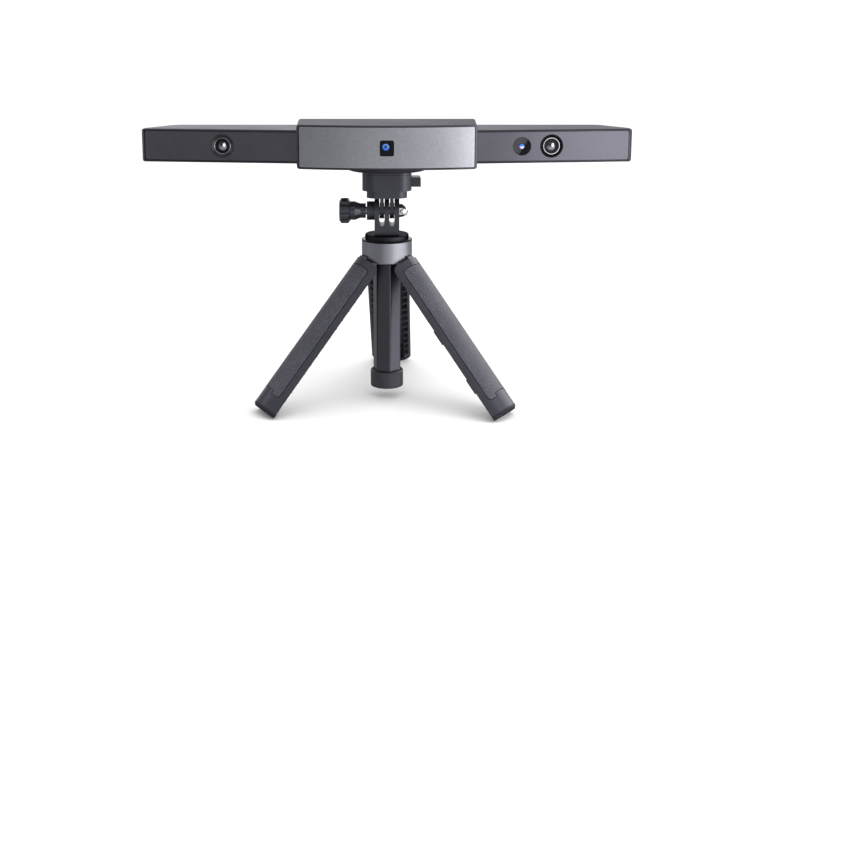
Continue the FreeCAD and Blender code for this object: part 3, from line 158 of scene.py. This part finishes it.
def blasted_metal(name, color, rough, grain=0.05, wear=0.05, speck=0.10, edge=1.0):
    """Bead-blasted, anodised aluminium: an even speckle of pits, faint clouding and rub marks."""
    made = Nodes(name)
    made.set(edge_tint=(0.96 * edge, 0.96 * edge, edge, 1.0))
    cloud = made.noise(38.0, 4.0)
    fine = made.noise(1500.0, 3.0, 0.7)
    pits = made.cells(3300.0)
    tint = made.ramp(cloud, [(0.3, shade(color, 1.0 - wear)), (0.7, shade(color, 1.0 + wear))])
    dots = made.ramp(fine, [(0.32, (1.0 - speck,) * 3), (0.68, (1.0 + speck,) * 3)])
    normal = made.bump(pits, grain, 0.00012, made.bump(fine, grain * 2, 0.00012))
    made.set(color=made.mix(1.0, tint, dots, "MULTIPLY"), metal=1.0, normal=normal,
             rough=made.span(cloud, rough - 0.03, rough + 0.03, 0.3, 0.7))
    return made.material


def satin_plastic(name, color, rough, grain=0.25, scale=2600.0, specular=0.5):
    """Moulded plastic with a fine spark-eroded texture and faint flow clouding."""
    made = Nodes(name)
    made.set(edge_tint=PLASTIC_TINT)
    cloud = made.noise(60.0, 3.0)
    fine = made.noise(scale, 3.0)
    tint = made.ramp(cloud, [(0.3, shade(color, 0.88)), (0.7, shade(color, 1.14))])
    made.set(color=made.mix(made.span(fine, 0.0, 0.35, 0.4, 0.8), tint, shade(color, 1.6)),
             rough=made.span(fine, rough - 0.05, rough + 0.06, 0.3, 0.7), specular=specular,
             normal=made.bump(fine, grain, 0.00010))
    return made.material


def polished(name, color, rough=0.04, metal=0.0, specular=0.5):
    """A polished surface with the faintest haze and dust."""
    made = Nodes(name)
    haze = made.noise(900.0, 4.0)
    made.set(color=made.ramp(haze, [(0.35, color), (0.8, shade(color, 1.25))]), metal=metal,
             rough=made.span(haze, rough * 0.7, rough * 1.6, 0.3, 0.7), specular=specular)
    return made.material


# ------------------------------------------------------------ materials

ARM = blasted_metal("arm_aluminium", (0.074, 0.074, 0.090), 0.37)
PANEL = blasted_metal("panel_aluminium", (0.134, 0.133, 0.158), 0.40)
HOUSING = blasted_metal("housing_aluminium", (0.10, 0.10, 0.12), 0.36, edge=0.62)
PLATE = blasted_metal("plate_aluminium", (0.435, 0.442, 0.488), 0.36, grain=0.09, speck=0.16)
COLLAR = blasted_metal("collar_aluminium", (0.35, 0.356, 0.40), 0.33, speck=0.13)
DISC = blasted_metal("disc_aluminium", (0.035, 0.035, 0.042), 0.3, grain=0.02, edge=0.3)
COLUMN = blasted_metal("column_aluminium", (0.115, 0.113, 0.136), 0.30, grain=0.03)
POLE = blasted_metal("pole_aluminium", (0.2, 0.2, 0.22), 0.25, grain=0.02)
RAIL = blasted_metal("rail_aluminium", (0.5, 0.5, 0.52), 0.4)
MODULE = blasted_metal("module_aluminium", (0.09, 0.09, 0.1), 0.45)
MOUNT = satin_plastic("mount_plastic", (0.016, 0.017, 0.022), 0.28, grain=0.08, specular=0.7)
CLEVIS = satin_plastic("clevis_plastic", (0.016, 0.017, 0.022), 0.30, grain=0.08, specular=0.7)
KNOB = satin_plastic("knob_plastic", (0.014, 0.015, 0.019), 0.2, grain=0.05, specular=1.0)
LEG = satin_plastic("leg_plastic", (0.028, 0.028, 0.036), 0.36, grain=0.12, specular=0.5)
COVER = satin_plastic("cover_plastic", (0.03, 0.03, 0.033), 0.5)
BUTTON = satin_plastic("button_plastic", (0.04, 0.04, 0.044), 0.42)
BEZEL = polished("bezel_black", (0.0035, 0.0035, 0.004), 0.16, specular=0.05)
BEZEL_DARK = blasted_metal("bezel_aluminium", (0.075, 0.075, 0.088), 0.34, grain=0.02)
RUBBER = satin_plastic("rubber_black", (0.013, 0.013, 0.017), 0.58, grain=0.4, scale=1800.0,
                       specular=0.35)
CAP = satin_plastic("cap_plastic", (0.027, 0.027, 0.034), 0.42, grain=0.1)
CHIP = satin_plastic("chip_plastic", (0.02, 0.02, 0.022), 0.5)
CABLE = satin_plastic("cable_film", (0.5, 0.26, 0.05), 0.35)
BOARD = satin_plastic("circuit_board", (0.01, 0.1, 0.05), 0.3)
CHROME = polished("nut_chrome", (0.75, 0.76, 0.78), 0.07, metal=1.0)
STEEL = polished("screw_steel", (0.48, 0.48, 0.5), 0.22, metal=1.0)
RING = polished("ring_steel", (0.42, 0.42, 0.45), 0.18, metal=1.0)
BRASS = polished("insert_brass", (0.7, 0.5, 0.2), 0.25, metal=1.0)
GLASS_BLACK = polished("black_glass", (0.004, 0.004, 0.005), 0.05, specular=0.1)
GUIDE = polished("light_guide", (0.62, 0.7, 0.66), 0.3)


def grip_rubber():
    """Inlaid grip: leather-like grain; the noise that raises the grain also colours it, paler on its
    ridges and darker in its pores, a painted shade.
    """
    made = Nodes("grip_rubber")
    grain = made.cells(1050.0, "SMOOTH_F1")
    fine = made.noise(1350.0, 3.0, 0.7)
    cloud = made.noise(70.0, 3.0)
    base = (0.040, 0.039, 0.050)
    tint = made.ramp(cloud, [(0.3, shade(base, 0.85)), (0.7, shade(base, 1.15))])
    # painted shade in the pores: the colour follows the same noise as the bump, darker where the grain
    # is low and paler where it is high
    dots = made.ramp(fine, [(0.34, (0.45, 0.45, 0.45)), (0.5, (0.9, 0.9, 0.9)), (0.66, (2.1, 2.1, 2.1))])
    made.set(specular=0.9, edge_tint=PLASTIC_TINT)
    made.set(color=made.mix(1.0, tint, dots, "MULTIPLY"), rough=made.span(fine, 0.42, 0.62, 0.3, 0.55),
             normal=made.bump(grain, 0.6, 0.00025, made.bump(fine, 0.8, 0.0003)))
    return made.material


GRIP = grip_rubber()

FINISHES = {
    "housing": HOUSING, "front_plate": PLATE, "rear_cover": COVER, "left_arm_shell": ARM,
    "right_arm_shell": ARM, "left_arm_panel": PANEL, "right_arm_panel": PANEL, "base_pad": RUBBER,
    "tripod_insert": BRASS, "chassis_rail": RAIL, "usb_socket": STEEL, "status_light": GUIDE,
    "mount_screw": STEEL, "latch_spring": STEEL, "cover_screws": STEEL, "board_screws": STEEL,
    "rail_screws": STEEL, "hinge_pins": STEEL, "thumb_screw": STEEL, "acorn_nut": CHROME,
    "main_board": BOARD, "heat_sink": RAIL, "left_ribbon_cable": CABLE, "right_ribbon_cable": CABLE,
    "adapter_plate": MOUNT, "release_body": MOUNT, "release_latch": MOUNT, "clevis": CLEVIS,
    "thumb_knob": KNOB, "head_disc": DISC, "pole_middle": POLE, "pole_inner": POLE,
    "column": COLUMN, "column_cap": CAP, "leg_hub": CLEVIS, "collar_ring": COLLAR,
    "scan_button": BUTTON, "projector_window": GLASS_BLACK, "projector_lens": GLASS_BLACK,
    "projector_module": MODULE, "colour_camera_window": GLASS_BLACK, "colour_camera_lens": GLASS_BLACK,
    "colour_camera_module": MODULE,
}
for side in ("left", "right"):
    FINISHES.update({side + "_camera_bezel": BEZEL if side == "right" else BEZEL_DARK,
                     side + "_camera_ring": RING, side + "_camera_lens": GLASS_BLACK,
                     side + "_camera_module": MODULE})
for number in (1, 2, 3):
    FINISHES.update({"leg_%d_shell" % number: LEG, "leg_%d_grip" % number: GRIP,
                     "leg_%d_foot" % number: RUBBER})
for name, node in nodes.items():
    node.data.materials.clear()
    node.data.materials.append(FINISHES[name])


# ------------------------------------------------------------ optics

ARM_SWEEP = 0.1198                 # how far the arm's face falls back per unit across
BLOCK_HALF = 0.0538                # half the width of the centre block
PANEL_FRONT = 0.017                # the face's distance before the tripod's axis, at the block
SEAT_GAP = 0.00012                 # the optics sit this far behind the face


def middle(node):
    low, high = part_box(node)
    return (low + high) / 2


def panel_place(node, side):
    """The frame of a round optic: local -Y looks squarely out of the arm's sloping panel."""
    centre = middle(node)
    face_y = AXIS_Y - PANEL_FRONT + ARM_SWEEP * (abs(centre.x) - BLOCK_HALF) + SEAT_GAP
    return (Matrix.Translation((centre.x, face_y, centre.z))
            @ Matrix.Rotation(side * math.atan(ARM_SWEEP), 4, "Z"))


def turned_piece(name, place, profile, materials, replaced, steps=72):
    """A solid turned about local Y from (radius, depth, finish) corners in mm, listed in order."""
    mesh = bpy.data.meshes.new(name)
    form = bmesh.new()
    rings = []
    for radius, depth, finish in profile:
        if radius == 0:
            rings.append([form.verts.new((0.0, depth / 1000.0, 0.0))])
            continue
        rings.append([form.verts.new((radius / 1000.0 * math.cos(2 * math.pi * step / steps),
                                      depth / 1000.0,
                                      radius / 1000.0 * math.sin(2 * math.pi * step / steps)))
                      for step in range(steps)])
    closed = profile[0][0] > 0 and profile[-1][0] > 0
    for index in range(len(rings) if closed else len(rings) - 1):
        first, second = rings[index], rings[(index + 1) % len(rings)]
        for step in range(steps):
            after = (step + 1) % steps
            if len(first) == 1:
                corners = (first[0], second[after], second[step])
            elif len(second) == 1:
                corners = (first[step], first[after], second[0])
            else:
                corners = (first[step], first[after], second[after], second[step])
            face = form.faces.new(corners)
            face.material_index = profile[index][2]
            face.smooth = True
    bmesh.ops.recalc_face_normals(form, faces=form.faces[:])
    for edge in form.edges:
        if len(edge.link_faces) == 2 and edge.calc_face_angle(0.0) > math.radians(32):
            edge.smooth = False
    form.transform(place)
    form.to_mesh(mesh)
    form.free()
    for material in materials:
        mesh.materials.append(material)
    piece = bpy.data.objects.new(name, mesh)
    scene.collection.objects.link(piece)
    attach(piece, "scanner")
    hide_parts(*replaced)
    return piece


def dome_profile(radius, ball, base, back):
    """Corners of a lens from its middle to its rim, its rim's foot and its flat back."""
    reach = math.asin(radius / ball)
    top = base - (ball - math.sqrt(ball * ball - radius * radius))
    arc = [(ball * math.sin(reach * step / 9), top + ball * (1 - math.cos(reach * step / 9)), 0)
           for step in range(10)]
    return arc + [(radius, back, 0), (0, back, 0)]


def lens_coat(name, centre, radius, core, rim, painted_reflection_tint, glow=0.0, rim_from=0.35, painted_glint=None):
    """Coated glass: a dark pupil, a coloured rim, a painted reflection that tints the lower half, and
    one painted glint, a soft pale highlight.
    """
    made = Nodes(name)
    inches = made.add("ShaderNodeVectorMath", {0: made.place, 1: tuple(centre)},
                      operation="DISTANCE").outputs["Value"]
    pupil = made.ramp(made.span(inches, 0.0, 1.0, 0.0, radius),
                      [(rim_from, core), (min(0.95, rim_from + 0.4), rim)])
    height = made.span(made.part(2), 0.0, 1.0, centre.z - radius, centre.z + radius)
    # painted reflection: the lower half of the glass is blended to a second tint, standing in for the
    # floor it would mirror
    painted_reflection_mask = made.ramp(height, [(0.36, (1.0, 1.0, 1.0)), (0.56, (0.0, 0.0, 0.0))])
    color = made.mix(painted_reflection_mask, pupil, painted_reflection_tint)
    # painted highlight: a soft pale oval, set off from the middle, laid into the glass colour
    if painted_glint:
        across = made.span(made.part(0), -1.0, 1.0, centre.x + painted_glint[0] - 0.0009,
                           centre.x + painted_glint[0] + 0.0009)
        up = made.span(made.part(2), -1.0, 1.0, centre.z + painted_glint[1] - 0.0013,
                       centre.z + painted_glint[1] + 0.0013)
        reach = made.math("ADD", made.math("MULTIPLY", across, across), made.math("MULTIPLY", up, up))
        painted_glint_mask = made.ramp(reach, [(0.45, (1.0, 1.0, 1.0)), (1.0, (0.0, 0.0, 0.0))])
        color = made.mix(painted_glint_mask, color, (0.85, 0.85, 0.87))
    made.set(color=color, rough=made.span(made.noise(700.0), 0.04, 0.075), specular=0.5)
    # emission from the pupil's colours: on the colour camera a painted glow, on the projector the
    # projector's own light
    if glow:
        made.set(emission=pupil, emission_strength=glow)
    return made.material


BARREL = satin_plastic("barrel_black", (0.006, 0.006, 0.007), 0.4, grain=0.05, specular=0.2)
RING_PROFILE = [(5.08, 1.3, 0), (5.08, 0.12, 0), (4.98, 0.02, 0), (4.70, 0.02, 0), (4.58, 0.14, 1),
                (4.50, 0.50, 1), (4.05, 0.50, 1), (4.00, 0.80, 1), (3.55, 0.80, 1), (3.50, 1.05, 1),
                (3.05, 1.05, 1), (3.00, 1.20, 1), (2.78, 1.20, 1), (2.78, 1.3, 1)]
for side, sign in (("left", -1), ("right", 1)):
    spot = panel_place(side + "_camera_bezel", sign)
    eye = middle(side + "_camera_lens")
    # painted light on both camera lenses: a pale lower half as a painted floor reflection and a pale
    # glint as a painted highlight
    coat = lens_coat(side + "_lens_coat", eye, 0.0029, (0.006, 0.006, 0.008), (0.03, 0.03, 0.035),
                     (0.17, 0.165, 0.19), painted_glint=(0.0011 if side == "left" else 0.0008, 0.0006))
    turned_piece(side + "_camera_retainer", spot, RING_PROFILE, [RING, BARREL],
                 [side + "_camera_ring"])
    turned_piece(side + "_camera_glass", spot, dome_profile(2.72, 3.4, 1.3, 1.66), [coat],
                 [side + "_camera_lens"])

spot = panel_place("colour_camera_window", 1)
eye = middle("colour_camera_lens")
# the colour lens's pale blue-white middle is a painted highlight, its pink lower half a painted
# reflection, and its glow a painted glow
coat = lens_coat("colour_lens_coat", eye, 0.0016, (0.55, 0.75, 1.0), (0.03, 0.16, 0.6),
                 (0.65, 0.5, 0.75), glow=0.15, rim_from=0.25)
turned_piece("colour_camera_glass", spot, dome_profile(1.5, 2.2, 0.3, 1.15), [coat],
             ["colour_camera_lens"])


def painted_reflection_glass():
    """The colour camera's black glass, with a painted reflection: a soft diagonal sheen, lighter on one
    side of a slanting line.
    """
    made = Nodes("painted_reflection_glass")
    across = made.math("ADD", made.part(0), made.math("MULTIPLY", made.part(2), -0.62))
    middle_line = eye.x - 0.62 * eye.z
    # painted reflection: the colour is lighter on one side of the slanting line through the lens and
    # near black on the other
    haze = made.ramp(made.span(across, 0.0, 1.0, middle_line - 0.0035, middle_line + 0.0035),
                     [(0.0, (0.045, 0.044, 0.048)), (0.62, (0.035, 0.034, 0.038)),
                      (0.72, (0.004, 0.004, 0.005))])
    made.set(color=haze, rough=made.span(made.noise(900.0), 0.05, 0.1), specular=0.1)
    return made.material


nodes["colour_camera_window"].data.materials[0] = painted_reflection_glass()

eye = middle("projector_lens")
# the projector lens's lighter blue lower half is a painted reflection; its glow stands for the
# projector's own light
coat = lens_coat("projector_lens_coat", eye, 0.00215, (0.003, 0.012, 0.14), (0.16, 0.42, 1.0),
                 (0.03, 0.11, 0.5), glow=0.10, rim_from=0.55)
front_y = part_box("projector_window")[0].y - 0.00015
turned_piece("projector_glass", Matrix.Translation((eye.x, front_y, eye.z)),
             dome_profile(2.12, 3.0, 0.75, 1.6), [coat], ["projector_lens"])


# ------------------------------------------------------------ column and gasket

def lofted_piece(name, rings, material, body, replaced=(), smooth_below=40.0):
    """A closed skin over rings of points, each ring listed the same way round."""
    mesh = bpy.data.meshes.new(name)
    form = bmesh.new()
    rows = [[form.verts.new(point) for point in ring] for ring in rings]
    count = len(rows[0])
    for first, second in zip(rows, rows[1:] + rows[:1]):
        for step in range(count):
            after = (step + 1) % count
            form.faces.new((first[step], first[after], second[after], second[step])).smooth = True
    bmesh.ops.recalc_face_normals(form, faces=form.faces[:])
    for edge in form.edges:
        if len(edge.link_faces) == 2 and edge.calc_face_angle(0.0) > math.radians(smooth_below):
            edge.smooth = False
    form.to_mesh(mesh)
    form.free()
    mesh.materials.append(material)
    piece = bpy.data.objects.new(name, mesh)
    scene.collection.objects.link(piece)
    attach(piece, body)
    if replaced:
        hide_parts(*replaced)
    return piece


def circle_ring(radius, height, steps=96):
    return [(radius * math.cos(2 * math.pi * step / steps),
             AXIS_Y + radius * math.sin(2 * math.pi * step / steps), height) for step in range(steps)]


def soft_hexagon(corner, turn, sharpness, height, steps=144):
    """A hexagon with round corners and slightly bulging faces, as an extruded tube has."""
    ring = []
    flat = corner * math.cos(math.pi / 6)
    for step in range(steps):
        angle = 2 * math.pi * step / steps
        total = 0.0
        for side in range(6):
            toward_side = math.cos(angle - turn - math.pi / 6 - side * math.pi / 3)
            total += max(0.0, toward_side) ** sharpness
        radius = flat * total ** (-1.0 / sharpness)
        ring.append((radius * math.cos(angle), AXIS_Y + radius * math.sin(angle), height))
    return ring


COLUMN_CORNER = 0.00888
COLUMN_TURN = math.radians(-15.0)
COLUMN_SHARPNESS = 34.0            # higher gives flatter faces and tighter corners
COLUMN_BORE = 0.0064
GASKET_OUTER = 0.01563
GASKET_BEVEL = 0.01540
GASKET_INNER = 0.0146
GASKET_HIGH = 0.00075
low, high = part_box("column")
lofted_piece("column_tube",
             [soft_hexagon(COLUMN_CORNER, COLUMN_TURN, COLUMN_SHARPNESS, low.z),
              soft_hexagon(COLUMN_CORNER, COLUMN_TURN, COLUMN_SHARPNESS, high.z),
              circle_ring(COLUMN_BORE, high.z, 144), circle_ring(COLUMN_BORE, low.z, 144)],
             COLUMN, "stand", ["column"])
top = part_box("collar_ring")[1].z
lofted_piece("collar_gasket",
             [circle_ring(GASKET_OUTER, top - GASKET_HIGH), circle_ring(GASKET_OUTER, top - 0.0001),
              circle_ring(GASKET_BEVEL, top + 0.00005), circle_ring(GASKET_INNER, top + 0.00005),
              circle_ring(GASKET_INNER, top - GASKET_HIGH)],
             BEZEL, "stand")


# ------------------------------------------------------------ floor and lights

def stage_plane(name, corners, color):
    mesh = bpy.data.meshes.new(name)
    mesh.from_pydata(corners, [], [tuple(range(len(corners)))])
    thing = bpy.data.objects.new(name, mesh)
    scene.collection.objects.link(thing)
    material = bpy.data.materials.new(name)
    material.use_nodes = True
    shader = material.node_tree.nodes["Principled BSDF"]
    shader.inputs["Base Color"].default_value = (*color, 1.0)
    shader.inputs["Roughness"].default_value = 0.9
    shader.inputs["Specular IOR Level"].default_value = 0.1
    mesh.materials.append(material)
    return thing


FLOOR_CORNERS = 96
FLOOR_RADIUS = 40.0
floor = stage_plane("floor", [(FLOOR_RADIUS * math.cos(2 * math.pi * turn / FLOOR_CORNERS),
                               FLOOR_RADIUS * math.sin(2 * math.pi * turn / FLOOR_CORNERS), 0.0)
                              for turn in range(FLOOR_CORNERS)], (0.96, 0.96, 0.96))
floor.visible_glossy = False


def toward(azimuth, elevation):
    """A direction: azimuth 0 is in front of the lenses, 90 is at the object's right."""
    turn, rise = math.radians(azimuth), math.radians(elevation)
    return (math.sin(turn) * math.cos(rise), -math.cos(turn) * math.cos(rise), math.sin(rise))


# soft panels round the studio, seen only in gloss: azimuth, elevation, inner and outer half angle, light
PANELS = [(62, -10, 12, 54, 1.25), (3, -12, 5, 25, 0.4), (38, 12, 3, 13, 1.0), (-85, 20, 5, 16, 1.8),
          (125, 32, 12, 42, 2.8), (-165, 10, 6, 26, 0.8), (168, 6, 5, 22, 0.3), (0, 90, 20, 60, 0.4)]
LOW_PANELS = 2           # the first panels are low bands, which fade out above the horizon
GLOSS_BASE = 0.31        # what gloss sees between the panels
BACKDROP = 1.06          # what the camera sees behind the object
world = bpy.data.worlds.new("World")
scene.world = world
world.use_nodes = True
tree = world.node_tree
background = tree.nodes["Background"]
place = tree.nodes.new("ShaderNodeTexCoord").outputs["Generated"]


def toward_dot(direction):
    dot = tree.nodes.new("ShaderNodeVectorMath")
    dot.operation = "DOT_PRODUCT"
    tree.links.new(place, dot.inputs[0])
    dot.inputs[1].default_value = direction
    return dot.outputs["Value"]


def feed(sockets, values):
    """Link each value that is a socket and set each one that is a number."""
    for socket, value in zip(sockets, values):
        if isinstance(value, bpy.types.NodeSocket):
            tree.links.new(value, socket)
        else:
            socket.default_value = value


def world_math(operation, first, second):
    node = tree.nodes.new("ShaderNodeMath")
    node.operation = operation
    feed(node.inputs, (first, second))
    return node.outputs[0]


def world_choice(factor, first, second):
    node = tree.nodes.new("ShaderNodeMix")
    node.data_type = "FLOAT"
    feed((node.inputs[0], node.inputs[2], node.inputs[3]), (factor, first, second))
    return node.outputs[0]


# full light up to just above the horizon, less than a third of it from about 25 degrees up
window = tree.nodes.new("ShaderNodeMapRange")
window.interpolation_type = "SMOOTHSTEP"
tree.links.new(toward_dot((0.0, 0.0, 1.0)), window.inputs["Value"])
window.inputs["From Min"].default_value = 0.06
window.inputs["From Max"].default_value = 0.42
window.inputs["To Min"].default_value = 1.0
window.inputs["To Max"].default_value = 0.3
gloss = GLOSS_BASE
for number, (azimuth, elevation, inner, outer, light) in enumerate(PANELS):
    fade = tree.nodes.new("ShaderNodeMapRange")
    fade.interpolation_type = "SMOOTHSTEP"
    tree.links.new(toward_dot(toward(azimuth, elevation)), fade.inputs["Value"])
    fade.inputs["From Min"].default_value = math.cos(math.radians(outer))
    fade.inputs["From Max"].default_value = math.cos(math.radians(inner))
    fade.inputs["To Max"].default_value = light
    seen = fade.outputs[0]
    if number < LOW_PANELS:
        seen = world_math("MULTIPLY", seen, window.outputs[0])
    gloss = world_math("ADD", seen, gloss)
# the soft light itself comes a little more from the object's right
soft = world_math("ADD", world_math("MULTIPLY", toward_dot(toward(80, 15)), 0.4), 1.12)
path = tree.nodes.new("ShaderNodeLightPath")
lit = world_choice(path.outputs["Is Diffuse Ray"], BACKDROP, soft)
tree.links.new(world_choice(path.outputs["Is Glossy Ray"], lit, gloss), background.inputs["Strength"])
background.inputs["Color"].default_value = (1.0, 1.0, 1.0, 1.0)


def area_light(name, place, target, size, power, in_gloss=False):
    data = bpy.data.lights.new(name, "AREA")
    data.shape = "RECTANGLE"
    data.size, data.size_y = size
    data.energy = power
    lamp = bpy.data.objects.new(name, data)
    scene.collection.objects.link(lamp)
    lamp.location = place
    lamp.rotation_euler = (Vector(target) - Vector(place)).to_track_quat("-Z", "Y").to_euler()
    lamp.visible_camera = False
    lamp.visible_glossy = in_gloss
    return lamp


area_light("key", (0.1, -0.5, 1.6), (0.0, 0.0, 0.1), (1.8, 1.8), 5.0)
area_light("tip_fill", (0.19, -0.15, 0.15), (0.13, -0.03, 0.16), (0.10, 0.10), 0.06, in_gloss=True)
area_light("front_fill", (0.36, -0.36, 0.10), (0.08, -0.03, 0.08), (0.22, 0.22), 0.42)
area_light("leg_fill", (0.24, -0.14, 0.11), (0.07, -0.05, 0.04), (0.08, 0.08), 0.09)
area_light("end_fill", (-0.26, -0.03, 0.165), (-0.14, -0.03, 0.16), (0.08, 0.08), 0.03, in_gloss=True)
